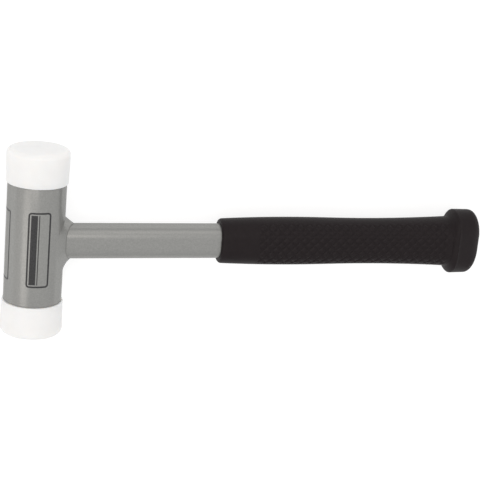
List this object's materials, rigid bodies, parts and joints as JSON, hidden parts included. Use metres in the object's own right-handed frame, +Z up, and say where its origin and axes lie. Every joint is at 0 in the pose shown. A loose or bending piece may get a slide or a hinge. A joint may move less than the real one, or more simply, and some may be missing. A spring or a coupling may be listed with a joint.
{
  "type": "soft face hammer",
  "caption": "Soft face hammer with a shot-filled steel tube head, replaceable nylon faces, a flat-oval steel shaft and a rubber grip with a flanged pommel.",
  "frame": {"origin": "under the middle of the hammer as it lies on its side, on the surface that it lies on", "axes": "+X from the head to the pommel, Y along the head through both faces, +Z up"},
  "size_m": [0.2834, 0.1066, 0.035],
  "materials": {
    "silver_paint": "silver-grey satin metallic paint",
    "nylon": "natural white nylon, satin",
    "plate_steel": "bare pressed steel",
    "shot_steel": "dull steel balls",
    "grip_rubber": "black moulded rubber, satin"
  },
  "bodies": {
    "hammer": {"head_tube": "silver_paint", "top_shot_plate": "plate_steel", "bottom_shot_plate": "plate_steel", "handle_shaft": "silver_paint", "handle_weld": "silver_paint", "grip": "grip_rubber"},
    "top_face": {"top_face": "nylon"},
    "bottom_face": {"bottom_face": "nylon"},
    "shot_charge": {"steel_shot": "shot_steel"}
  },
  "joints": [
    {"name": "top_face_pull", "type": "slide", "parent": "hammer", "child": "top_face", "axis": [0, 1, 0], "range_m": [0, 0.0125]},
    {"name": "bottom_face_pull", "type": "slide", "parent": "hammer", "child": "bottom_face", "axis": [0, -1, 0], "range_m": [0, 0.0125]},
    {"name": "shot_travel", "type": "slide", "parent": "hammer", "child": "shot_charge", "axis": [0, 1, 0], "range_m": [-0.002, 0.002]}
  ]
}
